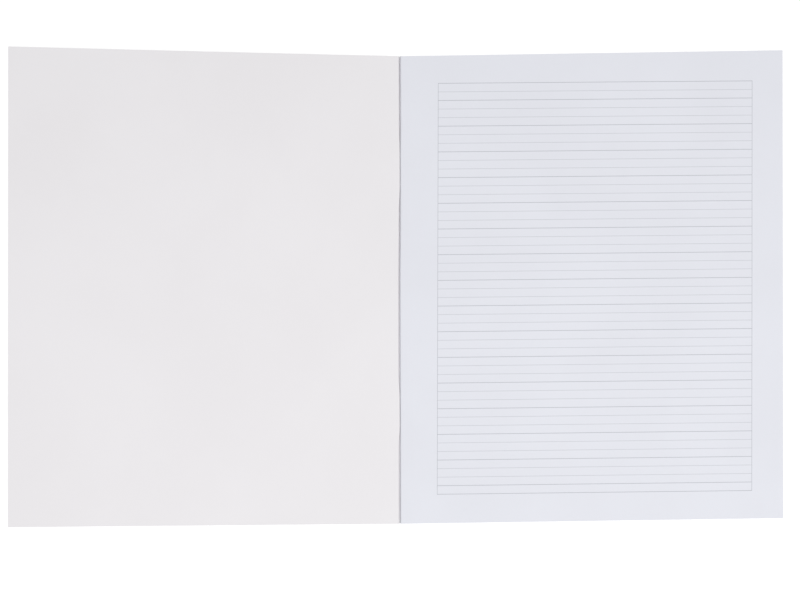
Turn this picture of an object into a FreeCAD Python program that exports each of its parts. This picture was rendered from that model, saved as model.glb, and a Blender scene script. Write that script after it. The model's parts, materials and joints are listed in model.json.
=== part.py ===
"""An open stapled composition notebook, in millimetres.

The notebook lies on its back cover. The front cover is thrown open to the left and springs a little off the
table; the leaves lie closed on the right, with the first ruled page up. The cover is one sheet of card with
two creases, so it has three parts here: the front cover and the back cover, which each swing on a crease,
and the spine strip between the creases. Two wire staples go through the strip and the fold of the leaves and
are clinched at the middle of the leaves.

+X runs from the spine to the fore edge of the leaves, +Y to the head of the pages, and +Z up. The origin is
on the table, under the middle of the folded edge of the leaves.
"""

import FreeCAD
import Part

import math
import os

# The trimmed page: the width from the fold to the fore edge, and the height along the fold
page_width = 176.3
page_height = 215.9
# The head and tail were cut this much out of square with the fold, so the open halves form a shallow V
trim_skew_deg = 0.71

# The leaves, and the rounding of their pressed fold
leaf_count = 20
leaf_thickness = 0.09
fold_rounding = 0.60

# The card of the cover, and the rounding of the outside of its creases
card_thickness = 0.30
crease_rounding = 0.22
# The room between the fold of the leaves and the spine strip
fold_room = 0.35
# The room between the first page and the closed front cover
page_room = 0.03
# How far a crease stands out from the spine strip
crease_room = 0.05
# The front cover springs up from the table by this angle
cover_lift_deg = 7.1

# The staples: round wire, the length of the crown, and the gap between the clinched ends
wire_diameter = 0.50
wire_bend_radius = 0.40
crown_length = 13.0
clinch_gap = 3.0
# The room around the wire where it goes through the card and the leaves
wire_room = 0.03
# The distance between the middles of the two staples, along the fold
staple_spacing = 111.0

# A rounding takes at most this share of the thickness that it is cut from
rounding_share = 0.9

# Heights above the table
block_thickness = leaf_count * leaf_thickness
block_bottom = card_thickness
block_top = block_bottom + block_thickness
block_middle = (block_bottom + block_top) / 2
front_crease_z = block_top + page_room
back_crease_z = card_thickness

# Places across the spine
strip_inside_x = -fold_room
strip_outside_x = strip_inside_x - card_thickness
crease_x = strip_outside_x - crease_room
crown_x = strip_outside_x - wire_room - wire_diameter / 2
# The clinched ends lie on the innermost fold, which half of the leaves are folded around
clinch_x = block_thickness / 2 + wire_room + wire_diameter / 2

ALONG_Y = FreeCAD.Vector(0, 1, 0)
UP = FreeCAD.Vector(0, 0, 1)
SAME_PLACE = 1e-6


def trimmed_plate(x_near, x_far, z_low, z_high):
    """A flat plate between two planes square to X, with its head and tail on the trimmed lines."""
    rise = math.tan(math.radians(trim_skew_deg))
    half = page_height / 2
    outline = [
        FreeCAD.Vector(x_near, x_near * rise - half, z_low),
        FreeCAD.Vector(x_far, x_far * rise - half, z_low),
        FreeCAD.Vector(x_far, x_far * rise + half, z_low),
        FreeCAD.Vector(x_near, x_near * rise + half, z_low),
    ]
    face = Part.Face(Part.makePolygon(outline + outline[:1]))
    return face.extrude(UP * (z_high - z_low))


def rounded_along_fold(plate, x, heights, radius):
    """The plate with those of its edges rounded that run along the fold, at x and at the given heights."""

    def is_chosen(edge):
        runs_along_fold = abs(edge.tangentAt(edge.FirstParameter).y) > 1 - SAME_PLACE
        middle = edge.CenterOfMass
        height_fits = any(abs(middle.z - z) < SAME_PLACE for z in heights)
        return runs_along_fold and height_fits and abs(middle.x - x) < SAME_PLACE

    return plate.makeFillet(radius, [edge for edge in plate.Edges if is_chosen(edge)])


def staple_wire(y_middle, room=0.0):
    """A clinched staple, or, with some room around it, the passage that it needs."""
    half_crown = crown_length / 2
    tip = clinch_gap / 2 - room
    places = [(clinch_x, -tip), (clinch_x, -half_crown), (crown_x, -half_crown)]
    places += [(x, -y) for x, y in reversed(places)]
    points = [FreeCAD.Vector(x, y_middle + y, block_middle) for x, y in places]

    edges = []
    start = points[0]
    for before, corner, after in zip(points, points[1:], points[2:]):
        back = (before - corner).normalize()
        ahead = (after - corner).normalize()
        bend_start = corner + back * wire_bend_radius
        bend_end = corner + ahead * wire_bend_radius
        bend_middle = corner + (back + ahead) * (wire_bend_radius * (1 - math.sqrt(0.5)))
        edges.append(Part.LineSegment(start, bend_start).toShape())
        edges.append(Part.Arc(bend_start, bend_middle, bend_end).toShape())
        start = bend_end
    edges.append(Part.LineSegment(start, points[-1]).toShape())

    section = Part.makeCircle(wire_diameter / 2 + room, points[0], points[1] - points[0])
    return Part.Wire(edges).makePipeShell([Part.Wire(section)], True, True)


def front_cover():
    """The front half of the card, made closed over the leaves and then thrown open about its crease."""
    outside_z = front_crease_z + card_thickness
    radius = min(crease_rounding, rounding_share * card_thickness)
    card = trimmed_plate(crease_x, page_width, front_crease_z, outside_z)
    card = rounded_along_fold(card, crease_x, [outside_z], radius)
    card.rotate(FreeCAD.Vector(crease_x, 0, front_crease_z), ALONG_Y, cover_lift_deg - 180)
    return card


def back_cover():
    """The back half of the card, flat on the table under the leaves."""
    radius = min(crease_rounding, rounding_share * card_thickness)
    card = trimmed_plate(crease_x, page_width, 0, back_crease_z)
    return rounded_along_fold(card, crease_x, [0], radius)


def spine_strip(passages):
    """The band of the card between its two creases, which stands behind the fold of the leaves."""
    band = trimmed_plate(strip_outside_x, strip_inside_x, back_crease_z, front_crease_z)
    return band.cut(passages)


def page_block(passages):
    """The closed leaves, folded at the spine and pressed, with the passage of each staple."""
    radius = min(fold_rounding, rounding_share * block_thickness / 2)
    block = trimmed_plate(0, page_width, block_bottom, block_top)
    return rounded_along_fold(block, 0, [block_bottom, block_top], radius).cut(passages)


def main():
    staple_places = {"upper_staple": staple_spacing / 2, "lower_staple": -staple_spacing / 2}
    passages = [staple_wire(y, wire_room) for y in staple_places.values()]
    nodes = {name: staple_wire(y) for name, y in staple_places.items()}
    nodes["front_cover"] = front_cover()
    nodes["spine_strip"] = spine_strip(passages)
    nodes["back_cover"] = back_cover()
    nodes["page_block"] = page_block(passages)

    os.makedirs("parts", exist_ok=True)
    for name, shape in nodes.items():
        shape.exportStep(f"parts/{name}.step")
        box = shape.BoundBox
        print(
            f"{name}: {len(shape.Solids)} solid, valid {shape.isValid()}, {shape.Volume:.2f} mm3,"
            f" x {box.XMin:.2f} to {box.XMax:.2f}, y {box.YMin:.2f} to {box.YMax:.2f},"
            f" z {box.ZMin:.2f} to {box.ZMax:.2f}"
        )


main()
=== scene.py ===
# %% [markdown]
# # An open stapled notebook
# The notebook is ten sheets of paper folded once, a card cover folded around them, and two wire staples through
# the fold. It lies open at its first page, so the left half shows the plain inside of the front cover. The solid
# model gives every place and size. This script dresses it: it makes the leaves one by one, bends the card at its
# creases, prints the ruling, and gives each surface the finish of paper, card or wire.
#
# Everything is in metres. X runs from the spine to the fore edge, Y to the head of the pages, and Z up.

# %% Load the solid model
import json
import math
import random

import bmesh
import bpy
from mathutils import Matrix, Vector, noise


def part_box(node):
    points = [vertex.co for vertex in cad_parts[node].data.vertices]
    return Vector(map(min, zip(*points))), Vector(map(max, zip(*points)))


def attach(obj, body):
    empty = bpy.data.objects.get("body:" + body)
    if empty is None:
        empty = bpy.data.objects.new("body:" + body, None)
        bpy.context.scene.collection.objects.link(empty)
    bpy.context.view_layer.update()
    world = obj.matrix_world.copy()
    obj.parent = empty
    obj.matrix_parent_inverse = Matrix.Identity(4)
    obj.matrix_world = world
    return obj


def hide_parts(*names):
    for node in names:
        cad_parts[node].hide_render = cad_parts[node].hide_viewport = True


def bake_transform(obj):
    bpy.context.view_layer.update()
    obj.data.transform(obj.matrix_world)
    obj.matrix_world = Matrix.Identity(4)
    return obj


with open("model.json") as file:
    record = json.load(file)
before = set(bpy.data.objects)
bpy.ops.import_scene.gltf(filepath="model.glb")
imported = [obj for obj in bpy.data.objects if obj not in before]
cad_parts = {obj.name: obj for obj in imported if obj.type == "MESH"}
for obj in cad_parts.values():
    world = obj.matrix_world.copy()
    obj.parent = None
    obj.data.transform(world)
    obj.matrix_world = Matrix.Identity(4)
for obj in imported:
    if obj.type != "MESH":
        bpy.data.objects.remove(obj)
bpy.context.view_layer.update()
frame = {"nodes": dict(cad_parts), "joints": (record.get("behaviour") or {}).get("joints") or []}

print("nodes:", ", ".join(sorted(frame["nodes"])))

# %% [markdown]
# ## Sizes
# A dressed piece has to lie exactly where its solid lies, so the sizes come from the solids and not from a second
# list. The page block gives the page, the back cover gives the card's thickness, and the two joints give the
# lines that the covers swing about. The front cover closes through half a turn less its lift, which gives the lift.

# %% Read the sizes from the solids
MM = 0.001

block_low, block_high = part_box("page_block")
strip_low, strip_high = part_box("spine_strip")
back_low, back_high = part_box("back_cover")
joints = {joint["name"]: joint for joint in frame["joints"]}
front_crease = Vector(joints["front_cover_crease"]["pos_m"])

page_width = block_high.x
half_height = -block_low.y
trim_rise = (block_high.y - half_height) / page_width
card_thickness = back_high.z - back_low.z
cover_lift = math.radians(180 - joints["front_cover_crease"]["range_deg"][1])
middle_z = (block_low.z + block_high.z) / 2
print(f"page {page_width / MM:.1f} x {2 * half_height / MM:.1f} mm, card {card_thickness / MM:.2f} mm")
print(f"cover lifted {math.degrees(cover_lift):.1f} degrees, spine halved at {middle_z / MM:.2f} mm")

# %% [markdown]
# ## Building materials from nodes
# A material is a tree of nodes. Each finish here needs a dozen of them, and written out one by one they hide what
# the finish does. So one helper makes a node, sets it and links it. The Mix node keeps sockets for every kind of
# value and shows only some, so its colour sockets are reached by number, in one place.

# %% Short ways to add nodes
def add_node(tree, kind, inputs=None, **settings):
    """A node with these settings, whose inputs take a value, or a link from a socket."""
    node = tree.nodes.new(kind)
    for name, value in settings.items():
        setattr(node, name, value)
    for name, value in (inputs or {}).items():
        if isinstance(value, bpy.types.NodeSocket):
            tree.links.new(value, node.inputs[name])
        else:
            node.inputs[name].default_value = value
    return node


def mix_colours(tree, share, first, second):
    """The socket of a colour that goes from the first to the second."""
    inputs = {0: share, 6: (*first, 1), 7: (*second, 1)}
    return add_node(tree, "ShaderNodeMix", inputs, data_type="RGBA").outputs[2]


def fresh_material(name):
    """A material, its tree, its shader, and the socket that gives the place on the piece."""
    material = bpy.data.materials.new(name)
    material.use_nodes = True
    tree = material.node_tree
    place = tree.nodes.new("ShaderNodeTexCoord").outputs["Object"]
    return material, tree, tree.nodes["Principled BSDF"], place


# %% [markdown]
# ## Paper and card up close
# Both are felted fibres. From reading distance that shows as a faint cloudiness, which papermakers call the look
# through, and as a tooth that breaks up the sheen. An image of paper would repeat, and it wouldn't reach around an
# edge, so the effect is worked out from the place on the piece. The page, the card and the ink all need it with
# other scales, so it is one node group. It puts out plain masks, and each material decides what they change.

# %% The shared effect: fibres and clouds
FIBRE_FIELDS = ((24, (1.0, 0.16, 1.0)), (-51, (0.2, 1.0, 1.0)))


def make_fibre_group():
    group = bpy.data.node_groups.new("felted_fibres", "ShaderNodeTree")
    group.interface.new_socket("Place", in_out="INPUT", socket_type="NodeSocketVector")
    for name, value in (("Cloud Scale", 18.0), ("Fibre Scale", 420.0), ("Tooth Scale", 1500.0)):
        group.interface.new_socket(name, in_out="INPUT", socket_type="NodeSocketFloat").default_value = value
    for name in ("Clouds", "Fibres", "Tooth"):
        group.interface.new_socket(name, in_out="OUTPUT", socket_type="NodeSocketFloat")
    given = group.nodes.new("NodeGroupInput").outputs

    clouds = add_node(group, "ShaderNodeTexNoise", {
        "Vector": given["Place"], "Scale": given["Cloud Scale"], "Detail": 4.0, "Roughness": 0.55})
    spread = add_node(group, "ShaderNodeMapRange", {
        "Value": clouds.outputs["Fac"], "From Min": 0.32, "From Max": 0.68}, interpolation_type="SMOOTHSTEP")

    # Two fields of long thin streaks at an angle to each other look like fibres that lie any way
    streaks = []
    for degrees, stretch in FIBRE_FIELDS:
        turned = add_node(group, "ShaderNodeMapping", {
            "Vector": given["Place"], "Rotation": (0, 0, math.radians(degrees)), "Scale": stretch})
        streak = add_node(group, "ShaderNodeTexNoise", {
            "Vector": turned.outputs["Vector"], "Scale": given["Fibre Scale"], "Detail": 3.0, "Distortion": 0.6})
        streaks.append(streak.outputs["Fac"])
    fibres = add_node(group, "ShaderNodeMath", {0: streaks[0], 1: streaks[1]}, operation="MAXIMUM")
    tooth = add_node(group, "ShaderNodeTexNoise", {
        "Vector": given["Place"], "Scale": given["Tooth Scale"], "Detail": 2.0})

    result = group.nodes.new("NodeGroupOutput")
    group.links.new(spread.outputs["Result"], result.inputs["Clouds"])
    group.links.new(fibres.outputs["Value"], result.inputs["Fibres"])
    group.links.new(tooth.outputs["Fac"], result.inputs["Tooth"])
    return group


fibre_group = make_fibre_group()
print("shared effect:", fibre_group.name, "with", len(fibre_group.nodes), "nodes")

# %% [markdown]
# ## Card and paper
# A paper material needs no gloss to speak of. What it needs is a colour that drifts by a percent or so, a roughness
# that the fibres break up, and a relief far finer than a fibre is wide. All three follow the group's masks, so one
# function makes every kind of paper and card, and only the numbers differ.

# %% A material for felted surfaces
FELT_SHINE = 0.25


def felted_material(name, dark, light, rough, cloud_scale, tooth_scale, relief, fibre_share=0.35):
    """Paper or card. The clouds drift the colour from dark to light, and fibres and tooth set sheen and relief."""
    material, tree, shader, place = fresh_material(name)
    felt = add_node(tree, "ShaderNodeGroup", node_tree=fibre_group)
    tree.links.new(place, felt.inputs["Place"])
    felt.inputs["Cloud Scale"].default_value = cloud_scale
    felt.inputs["Tooth Scale"].default_value = tooth_scale

    # The fibres speckle the clouds a little, so the colour has a coarse and a fine part
    speckled = add_node(tree, "ShaderNodeMix", {
        0: fibre_share, 2: felt.outputs["Clouds"], 3: felt.outputs["Fibres"]}).outputs[0]
    tree.links.new(mix_colours(tree, speckled, dark, light), shader.inputs["Base Color"])
    sheen = add_node(tree, "ShaderNodeMapRange", {
        "Value": felt.outputs["Fibres"], "From Min": 0.35, "From Max": 0.75, "To Min": rough[0], "To Max": rough[1]})
    tree.links.new(sheen.outputs["Result"], shader.inputs["Roughness"])
    height = add_node(tree, "ShaderNodeMath", {0: felt.outputs["Fibres"], 1: felt.outputs["Tooth"]}, operation="ADD")
    bump = add_node(tree, "ShaderNodeBump", {
        "Height": height.outputs["Value"], "Distance": relief, "Strength": 1.0})
    tree.links.new(bump.outputs["Normal"], shader.inputs["Normal"])
    shader.inputs["Specular IOR Level"].default_value = FELT_SHINE
    return material


# %% [markdown]
# The inside of the cover is uncoated card, a slightly warm white. The pages are a cooler white. The outside of the
# card is pressed smoother, and its cut edges show the grey heart of the board. The cut edges of the leaves are
# rough, and their darker colour is painted shade for the fine shadows between the cut fibres and the leaves. So a
# sheet carries a material for its faces and another for its cut edges.

# %% The five finishes
cover_inside = felted_material(
    "cover_inside", dark=(0.812, 0.794, 0.812), light=(0.834, 0.818, 0.837), rough=(0.62, 0.78),
    cloud_scale=16, tooth_scale=1400, relief=0.006 * MM)
cover_outside = felted_material(
    "cover_outside", dark=(0.800, 0.790, 0.800), light=(0.835, 0.826, 0.838), rough=(0.38, 0.50),
    cloud_scale=22, tooth_scale=900, relief=0.003 * MM)
cover_edge = felted_material(
    "cover_edge", dark=(0.560, 0.545, 0.540), light=(0.720, 0.705, 0.700), rough=(0.80, 0.92),
    cloud_scale=160, tooth_scale=2600, relief=0.012 * MM, fibre_share=0.7)
page_paper = felted_material(
    "page_paper", dark=(0.762, 0.771, 0.825), light=(0.784, 0.795, 0.852), rough=(0.74, 0.90),
    cloud_scale=19, tooth_scale=1800, relief=0.008 * MM)
# The leaves' cut edges are coloured darker than the page: painted shade for the fine shadows between the leaves
page_edge_painted_shade = felted_material(
    "page_edge_painted_shade", dark=(0.640, 0.645, 0.680), light=(0.770, 0.776, 0.820), rough=(0.82, 0.95),
    cloud_scale=240, tooth_scale=3200, relief=0.010 * MM, fibre_share=0.6)
felts = (cover_inside, cover_outside, cover_edge, page_paper, page_edge_painted_shade)
print("finishes:", ", ".join(material.name for material in felts))

# %% [markdown]
# ## Steps that make a sheet
# Paper and card are flat sheets that turn a corner, so the same steps make them all: a grid for the flat part, a
# spin for the bend, and a run of extrusions for the next flat part. A curve with a bevel would bend too, but its
# section doesn't keep a true thickness. The sheet is a bare surface at first.

# %% Flat parts, bends and runs
ALONG_FOLD = (0, 1, 0)
SAME_PLACE = 0.001 * MM


def flat_part(bm, near, far, height, columns, rows, half_length):
    """A level grid from near to far across the page, centred along the fold."""
    verts = bmesh.ops.create_grid(bm, x_segments=columns, y_segments=rows, size=0.5)["verts"]
    bmesh.ops.scale(bm, vec=(far - near, 2 * half_length, 1), verts=verts)
    bmesh.ops.translate(bm, vec=((near + far) / 2, 0, height), verts=verts)
    return verts


def free_edges(bm, x, verts):
    """The edges of this part that run along the fold at x."""
    line = {vert for vert in verts if abs(vert.co.x - x) < SAME_PLACE}
    return [edge for edge in bm.edges if set(edge.verts) <= line]


def bend(bm, edges, centre, degrees, steps):
    """Carries the sheet on around a line along the fold, and returns its new free edges."""
    verts = list({vert for edge in edges for vert in edge.verts})
    spun = bmesh.ops.spin(
        bm, geom=verts + edges, cent=centre, axis=ALONG_FOLD, angle=math.radians(degrees), steps=steps,
        use_merge=False, use_duplicate=False,
    )
    return [item for item in spun["geom_last"] if isinstance(item, bmesh.types.BMEdge)]


def run(bm, edges, step, steps):
    """Carries the sheet straight on by equal steps, and returns its new free edges."""
    for _ in range(steps):
        grown = bmesh.ops.extrude_edge_only(bm, edges=edges)["geom"]
        verts = {item for item in grown if isinstance(item, bmesh.types.BMVert)}
        bmesh.ops.translate(bm, vec=step, verts=list(verts))
        edges = [item for item in grown if isinstance(item, bmesh.types.BMEdge) and set(item.verts) <= verts]
    return edges


# %% [markdown]
# The notebook was trimmed a little out of square after it was folded and stapled. It was cut closed, so one shear
# does it for every sheet: a point moves towards the head by a small share of its distance from the fold.
#
# A sheet gets its thickness after that. The thickness grows along the normals, so they are made to agree first,
# and turned over if they point the wrong way.

# %% Trim, thicken and finish a sheet
SHARP_ANGLE = math.radians(40)

trim_shear = Matrix.Identity(4)
trim_shear[1][0] = trim_rise
print(f"trimmed {math.degrees(math.atan(trim_rise)):.2f} degrees out of square")


def trim(bm, verts):
    bmesh.ops.transform(bm, matrix=trim_shear, verts=verts)


def thicken(bm, thickness, top_face):
    """Thickens the surface below the side of top_face that looks up, or above it if the thickness is negative.

    Returns the faces of that side, of the other side and of the cut edges."""
    bmesh.ops.recalc_face_normals(bm, faces=bm.faces)
    if top_face.normal.z < 0:
        bmesh.ops.reverse_faces(bm, faces=bm.faces)
    given = set(bm.faces)
    grown = bmesh.ops.solidify(bm, geom=list(given), thickness=thickness)["geom"]
    far = {item for item in grown if isinstance(item, bmesh.types.BMFace)}
    cut = set(bm.faces) - given - far
    return given, far, cut


def make_piece(bm, name, materials):
    """Smooths the shading, apart from at the cut edges, and makes the object."""
    bmesh.ops.recalc_face_normals(bm, faces=bm.faces)
    for face in bm.faces:
        face.smooth = True
    for edge in bm.edges:
        edge.smooth = edge.is_manifold and edge.calc_face_angle() < SHARP_ANGLE
    mesh = bpy.data.meshes.new(name)
    bm.to_mesh(mesh)
    bm.free()
    for material in materials:
        mesh.materials.append(material)
    piece = bpy.data.objects.new(name, mesh)
    bpy.context.scene.collection.objects.link(piece)
    sides = ", ".join(f"{side / MM:.2f}" for side in piece.dimensions)
    print(f"{name}: {len(mesh.polygons)} faces, {sides} mm")
    return piece


# %% [markdown]
# ## How paper lies
# A stack of paper is never quite flat. The leaves swell and sink by a tenth of a millimetre over a hand's width,
# which is what makes its sheen drift across the page. A displacement in the material would move each leaf by
# itself, and they would cut through each other. So the points are moved. The solid is the largest that the stack
# can be, so the stack only sinks, and every height in it shrinks by the same share.

# %% The drift of the leaves
SINK = 0.20 * MM
SWELL_LENGTH = 75 * MM
LEAF_SEED = 3.7
CARD_SEED = 8.1


def drift(point, seed):
    """A smooth value from 0 to 1 that changes slowly across the page."""
    value = noise.noise(Vector((point.x / SWELL_LENGTH, point.y / SWELL_LENGTH, seed)))
    return min(max(0.5 + value, 0), 1)


def sunk(point):
    """The height of this point of the stack, once the leaves have sunk."""
    share = (point.z - block_low.z) / (block_high.z - block_low.z)
    return point.z - share * SINK * drift(point, LEAF_SEED)


page_middle = Vector((page_width / 2, 0, block_high.z))
print(f"the middle of the page sinks by {(page_middle.z - sunk(page_middle)) / MM:.2f} mm")

# %% [markdown]
# The gutter isn't quite straight either. The two staples hold the card and the leaves tightly together. Between
# them, and at the tail, both wander to the left by half a millimetre or more, and the card stands off from the
# leaves. A table of places gives the course of each, and a soft step joins them. The foot of the spine stays where
# it is, and so do the covers and pages beyond the reach of the wander.

# %% The wander of the gutter
# Each pair is a place along the fold, from -1 at the tail to 1 at the head, and how far the spine wanders there in
# millimetres. The staples are at about -0.52 and 0.52.
CARD_WANDER = ((-1.0, -0.74), (-0.68, -0.74), (-0.58, -0.26), (-0.46, -0.26), (-0.36, -0.74), (0.0, -0.74),
               (0.32, -0.44), (0.45, 0.04), (0.59, 0.04), (0.70, -0.20), (1.0, -0.22))
LEAF_WANDER = ((-1.0, -0.58), (-0.68, -0.56), (-0.58, -0.53), (-0.46, -0.53), (-0.36, -0.54), (0.0, -0.54),
               (0.32, -0.26), (0.45, -0.22), (0.59, -0.22), (0.70, -0.06), (1.0, -0.08))
WANDER_REACH = 9 * MM


def eased(share):
    """Goes from 0 to 1 with a soft start and a soft end."""
    share = min(max(share, 0), 1)
    return share * share * (3 - 2 * share)


def wander(point, table):
    """How far the spine wanders across at this point."""
    place = min(max(point.y / half_height, -1), 1)
    shift = table[-1][1]
    for (start, first), (end, last) in zip(table, table[1:]):
        if start <= place < end:
            shift = first + (last - first) * eased((place - start) / (end - start))
    above_foot = eased((point.z - block_low.z) / (middle_z - block_low.z))
    return shift * MM * above_foot * (1 - eased(abs(point.x) / WANDER_REACH))


fold_middle = Vector((0, 0, block_high.z))
print(f"half-way along the fold the card wanders {wander(fold_middle, CARD_WANDER) / MM:.2f} mm")

# %% [markdown]
# ## The leaves
# Ten sheets, each folded once around the ones inside it, make twenty leaves. The solid is one block, because
# pages are modelled as one. Seen from the side, though, a block looks like a slab of plastic, and lines painted on
# it would blur. So each sheet is made here: the first leaf as a grid, its pressed fold as two quarter bends, and
# the last leaf as a run. An inner sheet has a tighter fold. The guillotine cuts all leaves flush, give or take a
# few hundredths of a millimetre.

# %% One folded sheet
SHEETS = 10
# The stack keeps clear of the solid's faces by the skin, and its fold keeps clear of the card by the inset
SKIN = 0.02 * MM
FOLD_INSET = 0.10 * MM
LEAF_GAP = 0.010 * MM
FOLD_RADIUS = 0.72 * MM
TIGHTEST_FOLD = 0.03 * MM
FOLD_STEPS = 5
FOLD_RUN_STEPS = 2
FLUSH = 0.05 * MM

leaf_low = block_low.z + SKIN
leaf_high = block_high.z - SKIN
leaf_pitch = (leaf_high - leaf_low) / (2 * SHEETS)
leaf_thickness = leaf_pitch - LEAF_GAP
cutter = random.Random(7)
print(f"{2 * SHEETS} leaves of {leaf_thickness / MM:.3f} mm, {leaf_pitch / MM:.3f} mm apart")


def folded_sheet(bm, number, columns, rows):
    """The surface of one folded sheet, where number 0 is the outermost. Returns a face of its first leaf."""
    depth = number * leaf_pitch
    top = leaf_high - depth
    bottom = leaf_low + depth
    half_gap = (top - bottom) / 2
    radius = min(max(FOLD_RADIUS - depth, TIGHTEST_FOLD), half_gap)
    start = FOLD_INSET + depth + radius
    edge = page_width - FLUSH * cutter.random()
    half_length = half_height - FLUSH * cutter.random() / 2

    first_leaf = flat_part(bm, start, edge, top, columns, rows, half_length)
    top_face = first_leaf[0].link_faces[0]
    ahead = free_edges(bm, start, first_leaf)
    ahead = bend(bm, ahead, (start, 0, top - radius), -90, FOLD_STEPS)
    if half_gap - radius > SAME_PLACE:
        ahead = run(bm, ahead, (0, 0, radius - half_gap), FOLD_RUN_STEPS)
    ahead = bend(bm, ahead, (start, 0, bottom + radius), -90, FOLD_STEPS)
    last_leaf = page_width - FLUSH * cutter.random() - start
    run(bm, ahead, (last_leaf / columns, 0, 0), columns)
    return top_face


# %% [markdown]
# The outermost sheet shows, so it is a piece of its own with a finer grid. The nine inside it show only their
# edges, so one mesh with a coarse grid holds them. The fold wanders and the stack sinks last, when the sheets are
# in place, because every sheet has to move in the same way.

# %% The outer sheet and the inner sheets
FINE_GRID = {"columns": 60, "rows": 72}
COARSE_GRID = {"columns": 14, "rows": 36}


def leaves_piece(name, numbers, grid):
    bm = bmesh.new()
    for number in numbers:
        sheet = bmesh.new()
        top_face = folded_sheet(sheet, number, **grid)
        trim(sheet, sheet.verts)
        cut = thicken(sheet, leaf_thickness, top_face)[2]
        # The cut edges take the second material, whose darker colour is painted shade
        for face in cut:
            face.material_index = 1
        single = bpy.data.meshes.new("single_sheet")
        sheet.to_mesh(single)
        sheet.free()
        bm.from_mesh(single)
        bpy.data.meshes.remove(single)
    for vert in bm.verts:
        vert.co.x += wander(vert.co, LEAF_WANDER)
        vert.co.z = sunk(vert.co)
    return make_piece(bm, name, [page_paper, page_edge_painted_shade])


outer_sheet = leaves_piece("outer_sheet", [0], FINE_GRID)
inner_sheets = leaves_piece("inner_sheets", range(1, SHEETS), COARSE_GRID)
for piece in (outer_sheet, inner_sheets):
    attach(piece, "leaves")
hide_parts("page_block")

# %% [markdown]
# ## The ruling
# Each page has a frame and a set of level lines inside it. Every third line is printed darker. Press and
# guillotine never quite agree: the frame leans a little with the gutter, and its lines rise less than the head
# does. So the frame is given by its four corners, and every line lies between two of its sides.

# %% The places of the lines
FIRST_LINE = (Vector((17.50, 95.37, 0)) * MM, Vector((162.22, 96.06, 0)) * MM)
LAST_LINE = (Vector((16.53, -94.36, 0)) * MM, Vector((161.79, -92.96, 0)) * MM)
LINE_COUNT = 49

pitch = (FIRST_LINE[0] - LAST_LINE[0]).length / (LINE_COUNT - 1)
print(f"{LINE_COUNT} lines, {(FIRST_LINE[1] - FIRST_LINE[0]).length / MM:.1f} mm long, {pitch / MM:.2f} mm apart")


def line_ends(number):
    """Where this line starts and ends, counted from the head."""
    share = number / (LINE_COUNT - 1)
    return [first.lerp(last, share) for first, last in zip(FIRST_LINE, LAST_LINE)]


def is_dark(number):
    return number % 3 == 2 or number in (0, LINE_COUNT - 1)


# %% [markdown]
# The ink has one colour all over, as print does, so that it stays crisp in the exported model. Its surface still
# follows the paper: the fibres show through its sheen and its relief.

# %% Ink
INK_SHINE = 0.2
INK_RELIEF = 0.006 * MM


def ink_material(name, colour):
    material, tree, shader, place = fresh_material(name)
    shader.inputs["Base Color"].default_value = (*colour, 1)
    shader.inputs["Specular IOR Level"].default_value = INK_SHINE
    felt = add_node(tree, "ShaderNodeGroup", node_tree=fibre_group)
    tree.links.new(place, felt.inputs["Place"])
    sheen = add_node(tree, "ShaderNodeMapRange", {
        "Value": felt.outputs["Fibres"], "From Min": 0.35, "From Max": 0.75, "To Min": 0.6, "To Max": 0.85})
    tree.links.new(sheen.outputs["Result"], shader.inputs["Roughness"])
    bump = add_node(tree, "ShaderNodeBump", {
        "Height": felt.outputs["Tooth"], "Distance": INK_RELIEF, "Strength": 1.0})
    tree.links.new(bump.outputs["Normal"], shader.inputs["Normal"])
    return material


dark_ink = ink_material("dark_ink", (0.485, 0.498, 0.538))
light_ink = ink_material("light_ink", (0.578, 0.590, 0.632))
print("inks:", dark_ink.name, light_ink.name)

# %% [markdown]
# A line is a quarter of a millimetre wide, which is finer than a painted pattern stays crisp once it is baked. So
# the ink is a thin closed bar that lies in the paper and stands a hundredth of a millimetre proud, in an object of
# its own. The last page is ruled like the first, with its ink on the underside. A bar has steps along it, because
# it sinks with the paper.

# %% The ruling of the first and the last page
DARK_LINE = 0.25 * MM
LIGHT_LINE = 0.20 * MM
INK_DEPTH = 0.025 * MM
INK_PROUD = 0.010 * MM
FRAME_PROUD = 0.013 * MM
LINE_STEPS = 40
FRAME_STEPS = 56


def bar(bm, start, end, width, height, steps):
    """A thin flat bar of ink from one place of the page to another."""
    along = end - start
    verts = bmesh.ops.create_grid(bm, x_segments=steps, y_segments=1, size=0.5)["verts"]
    bmesh.ops.scale(bm, vec=(along.length, width, 1), verts=verts)
    heading = Matrix.Rotation(math.atan2(along.y, along.x), 3, "Z")
    bmesh.ops.rotate(bm, cent=(0, 0, 0), matrix=heading, verts=verts)
    bmesh.ops.translate(bm, vec=(start + end) / 2 + Vector((0, 0, height)), verts=verts)
    return {face for vert in verts for face in vert.link_faces}


def rule_page(bm, surface, up):
    """Rules one page, whose paper is at this height. up is 1 on a page that faces up, and -1 below."""
    for number in range(LINE_COUNT):
        dark = is_dark(number)
        width = DARK_LINE if dark else LIGHT_LINE
        for face in bar(bm, *line_ends(number), width, surface + up * INK_PROUD, LINE_STEPS):
            face.material_index = 0 if dark else 1
    for first, last in zip(FIRST_LINE, LAST_LINE):
        past = (first - last).normalized() * DARK_LINE / 2
        bar(bm, last - past, first + past, LIGHT_LINE, surface + up * FRAME_PROUD, FRAME_STEPS)


# A grid faces up, so the last page's bars are turned over
ruling = bmesh.new()
rule_page(ruling, leaf_high, 1)
rule_page(ruling, leaf_low, -1)
last_page = [face for face in ruling.faces if face.calc_center_median().z < middle_z]
bmesh.ops.reverse_faces(ruling, faces=last_page)
bmesh.ops.solidify(ruling, geom=list(ruling.faces), thickness=INK_DEPTH)
for vert in ruling.verts:
    vert.co.z = sunk(vert.co)
page_ruling = make_piece(ruling, "page_ruling", [dark_ink, light_ink])
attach(page_ruling, "leaves")

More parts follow.
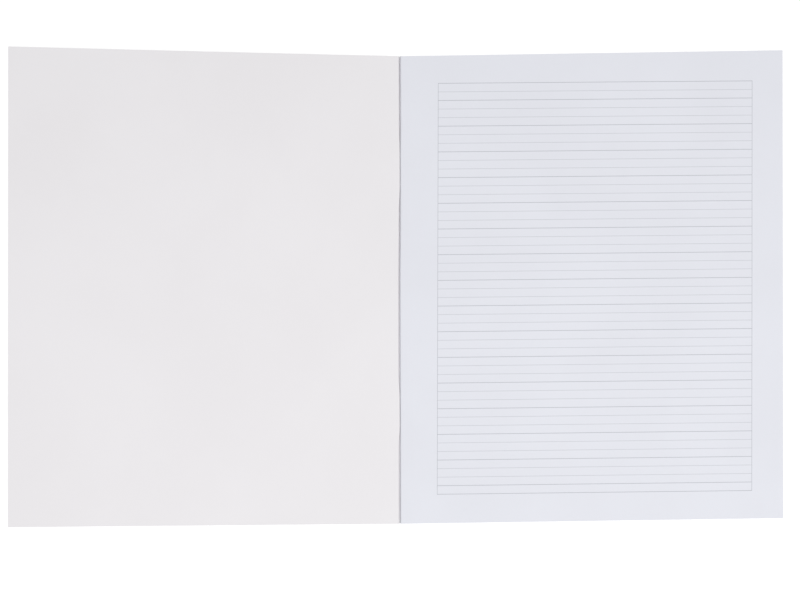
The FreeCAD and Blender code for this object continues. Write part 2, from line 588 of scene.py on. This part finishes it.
# %% [markdown]
# ## The card cover
# The cover is one sheet of card with two creases. Two pieces make it here, which meet at the middle of the spine,
# because each half bends at its own crease, and a piece can blend between two bodies only.
#
# The front half springs up from the table. Card that is held at one side doesn't stay flat: its corner at the head
# hangs lower than the one at the tail, and it bellies a little. Both go away from the pages, so that the cover
# still closes over them.

# %% How the card hangs and wanders, and which side gets which finish
BELLY = 0.45 * MM
CORNER_DROP = 4.05 * MM
EVEN_BELLY_SHARE = 0.35


def hang(point):
    """How far the front half hangs below its plane here."""
    reach = min(max(-point.x / page_width, 0), 1)
    towards_head = min(max((point.y + half_height) / (2 * half_height), 0), 1)
    uneven = EVEN_BELLY_SHARE + (1 - EVEN_BELLY_SHARE) * drift(point, CARD_SEED)
    return CORNER_DROP * reach * towards_head + BELLY * math.sin(math.pi * reach) ** 2 * uneven


def card_piece(bm, name, outside, cut):
    """Lets the crease wander, finishes the sides and makes the object."""
    for face in outside:
        face.material_index = 1
    for face in cut:
        face.material_index = 2
    for vert in bm.verts:
        vert.co.x += wander(vert.co, CARD_WANDER)
    return make_piece(bm, name, [cover_inside, cover_outside, cover_edge])


print(f"the corner at the head hangs {CORNER_DROP / MM:.1f} mm lower")

# %% [markdown]
# The front half starts as a grid, closed over the pages, and is thrown open about the crease. Card can't turn a
# sharp corner, so its crease is a bend of about half a millimetre, and the upper half of the spine is a short run.
# The bend starts where a circle of that radius touches both the spine and the panel. Half the angle between them
# gives its distance from their corner.

# %% The front half
FRONT_CREASE_RADIUS = 0.60 * MM
FRONT_CREASE_STEPS = 10
FRONT_SPINE_STEPS = 4

bend_angle = math.pi / 2 - cover_lift
corner = Vector((strip_high.x, 0, front_crease.z - (strip_high.x - front_crease.x) * math.tan(cover_lift)))
tangent = FRONT_CREASE_RADIUS * math.tan(bend_angle / 2)
panel_start = corner + tangent * Vector((-math.cos(cover_lift), 0, math.sin(cover_lift)))
bend_centre = Vector((corner.x - FRONT_CREASE_RADIUS, 0, corner.z - tangent))
opening = Matrix.Rotation(cover_lift - math.pi, 3, "Y")
# Where the panel starts while it is still closed over the pages
closed_start = front_crease.x + (front_crease.x - panel_start.x) / math.cos(cover_lift)

bm = bmesh.new()
panel = flat_part(bm, closed_start, page_width, front_crease.z, half_length=half_height, **FINE_GRID)
ahead = free_edges(bm, closed_start, panel)
trim(bm, panel)
bmesh.ops.rotate(bm, cent=front_crease, matrix=opening, verts=panel)
panel_face = panel[0].link_faces[0]
ahead = bend(bm, ahead, bend_centre, math.degrees(bend_angle), FRONT_CREASE_STEPS)
run(bm, ahead, (0, 0, (middle_z - bend_centre.z) / FRONT_SPINE_STEPS), FRONT_SPINE_STEPS)
_, outside, cut = thicken(bm, card_thickness, panel_face)
for vert in bm.verts:
    vert.co.z -= hang(vert.co)
front_card = card_piece(bm, "front_card", outside, cut)
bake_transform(front_card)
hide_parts("front_cover", "spine_strip")

# %% [markdown]
# The back half is made the other way up. Its surface is the outside of the card, which lies on the table, so the
# thickness goes above it. Here the spine and the panel are square to each other, so the bend is a quarter turn.

# %% The back half
BACK_CREASE_RADIUS = 0.40 * MM
BACK_CREASE_STEPS = 8
BACK_SPINE_STEPS = 6

bend_centre = Vector((strip_low.x + BACK_CREASE_RADIUS, 0, back_low.z + BACK_CREASE_RADIUS))

bm = bmesh.new()
panel = flat_part(bm, bend_centre.x, page_width, back_low.z, half_length=half_height, **FINE_GRID)
ahead = free_edges(bm, bend_centre.x, panel)
panel_face = panel[0].link_faces[0]
ahead = bend(bm, ahead, bend_centre, 90, BACK_CREASE_STEPS)
run(bm, ahead, (0, 0, (middle_z - bend_centre.z) / BACK_SPINE_STEPS), BACK_SPINE_STEPS)
trim(bm, bm.verts)
outside, _, cut = thicken(bm, -card_thickness, panel_face)
back_card = card_piece(bm, "back_card", outside, cut)
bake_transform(back_card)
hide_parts("back_cover")

# %% [markdown]
# ## The staples
# The solids already have the true wire, bends and all, so they stay and get a better finish. Staple wire is
# drawn steel with a thin zinc coat. Drawing leaves fine lines along the wire, which a noise stretched along the
# fold gives, and the zinc dulls in clouds.

# %% Staple wire
DULL_ZINC = (0.50, 0.50, 0.52)
BRIGHT_ZINC = (0.72, 0.72, 0.73)
WIRE_RELIEF = 0.004 * MM


def wire_material():
    material, tree, shader, place = fresh_material("staple_wire")
    shader.inputs["Metallic"].default_value = 1.0
    dulling = add_node(tree, "ShaderNodeTexNoise", {"Vector": place, "Scale": 700.0, "Detail": 4.0}).outputs["Fac"]
    along = add_node(tree, "ShaderNodeMapping", {"Vector": place, "Scale": (1.0, 0.05, 1.0)})
    lines = add_node(tree, "ShaderNodeTexNoise", {
        "Vector": along.outputs["Vector"], "Scale": 9000.0, "Detail": 2.0})
    tree.links.new(mix_colours(tree, dulling, DULL_ZINC, BRIGHT_ZINC), shader.inputs["Base Color"])
    sheen = add_node(tree, "ShaderNodeMapRange", {
        "Value": dulling, "From Min": 0.3, "From Max": 0.7, "To Min": 0.22, "To Max": 0.42})
    tree.links.new(sheen.outputs["Result"], shader.inputs["Roughness"])
    bump = add_node(tree, "ShaderNodeBump", {
        "Height": lines.outputs["Fac"], "Distance": WIRE_RELIEF, "Strength": 1.0})
    tree.links.new(bump.outputs["Normal"], shader.inputs["Normal"])
    return material


staple_wire = wire_material()
for name in ("upper_staple", "lower_staple"):
    staple = frame["nodes"][name]
    staple.data.materials.clear()
    staple.data.materials.append(staple_wire)

# %% [markdown]
# ## The camera
# The notebook is seen from above, with the lens over the middle of the fold. The distance sets how much larger the
# raised edge of the cover looks, and the lens then sets the scale. A camera on a stand never hangs quite plumb, and
# its tilt of a third of a degree shows in how the edges converge.

# %% Camera
EYE = Vector((1.60, -0.39, 700)) * MM
EYE_TILT_DEG = (-0.341, 0.165, -0.159)
LENS = 68.024
SENSOR = 36

camera = bpy.data.objects.new("camera", bpy.data.cameras.new("camera"))
bpy.context.scene.collection.objects.link(camera)
camera.data.lens = LENS
camera.data.sensor_width = SENSOR
camera.data.clip_start = 10 * MM
camera.location = EYE
camera.rotation_euler = [math.radians(angle) for angle in EYE_TILT_DEG]
bpy.context.scene.camera = camera
print(f"camera {EYE.z / MM:.0f} mm up, lens {LENS} mm")

# %% [markdown]
# ## The floor
# White paper on a white ground needs care: the floor mustn't get its white from more light, or the paper would
# burn out. So the eye and a mirror see a floor that glows nearly white and reflects little, which still takes a
# faint shadow, and every other ray meets plain pale matt. The Light Path node tells these rays apart.

# %% The floor
FLOOR_REACH = 3.0
FLOOR_DROP = 0.02 * MM
FLOOR_GREY = 0.22
FLOOR_GLOW = 0.90
FLOOR_PALE = 0.80


def seen_directly(tree):
    """1 for rays from the eye, from a mirror and through glass, and 0 for soft light."""
    rays = tree.nodes.new("ShaderNodeLightPath").outputs
    mirror = add_node(tree, "ShaderNodeMath", {
        0: rays["Is Camera Ray"], 1: rays["Is Glossy Ray"]}, operation="MAXIMUM")
    return add_node(tree, "ShaderNodeMath", {
        0: mirror.outputs[0], 1: rays["Is Transmission Ray"]}, operation="MAXIMUM").outputs[0]


def grey(level):
    return (level, level, level, 1)


bm = bmesh.new()
bmesh.ops.create_grid(bm, x_segments=1, y_segments=1, size=FLOOR_REACH)
bmesh.ops.translate(bm, vec=(0, 0, -FLOOR_DROP), verts=bm.verts)
floor_finish = bpy.data.materials.new("pale_floor")
floor = make_piece(bm, "floor", [floor_finish])

floor_finish.use_nodes = True
tree = floor_finish.node_tree
tree.nodes.clear()
soft = add_node(tree, "ShaderNodeBsdfDiffuse", {"Color": grey(FLOOR_GREY)})
glow = add_node(tree, "ShaderNodeEmission", {"Strength": FLOOR_GLOW})
seen = add_node(tree, "ShaderNodeAddShader", {0: soft.outputs[0], 1: glow.outputs[0]})
plain = add_node(tree, "ShaderNodeBsdfDiffuse", {"Color": grey(FLOOR_PALE)})
choice = add_node(tree, "ShaderNodeMixShader", {0: seen_directly(tree), 1: plain.outputs[0], 2: seen.outputs[0]})
add_node(tree, "ShaderNodeOutputMaterial", {"Surface": choice.outputs[0]})

# %% [markdown]
# ## Light
# An even sky and one broad soft lamp light the paper at a plain level, so that its colour renders about as it is
# written. The sky is plain white to the eye, and weaker as a light. The lamp stands beyond the tail and to the
# right, which makes the pages a little brighter there. A small lamp would throw a hard shadow of the raised cover.

# %% Sky and lamp
SKY = 0.52
LAMP_POWER = 6.3
LAMP_SIZE = 0.8
LAMP_PLACE = Vector((0.15, -0.25, 1.0))

sky = bpy.data.worlds.new("sky")
bpy.context.scene.world = sky
sky.use_nodes = True
tree = sky.node_tree
tree.nodes.clear()
light = add_node(tree, "ShaderNodeBackground", {"Color": grey(1), "Strength": SKY})
white = add_node(tree, "ShaderNodeBackground", {"Color": grey(1), "Strength": 1.0})
choice = add_node(tree, "ShaderNodeMixShader", {0: seen_directly(tree), 1: light.outputs[0], 2: white.outputs[0]})
add_node(tree, "ShaderNodeOutputWorld", {"Surface": choice.outputs[0]})

lamp_data = bpy.data.lights.new("soft_lamp", "AREA")
lamp_data.shape = "SQUARE"
lamp_data.size = LAMP_SIZE
lamp_data.energy = LAMP_POWER
lamp = bpy.data.objects.new("soft_lamp", lamp_data)
bpy.context.scene.collection.objects.link(lamp)
lamp.location = LAMP_PLACE
lamp.rotation_euler = (-LAMP_PLACE).to_track_quat("-Z", "Y").to_euler()
bpy.context.scene.view_settings.view_transform = "Standard"
print(f"sky {SKY}, lamp {LAMP_POWER} W from {LAMP_PLACE.length:.2f} m")
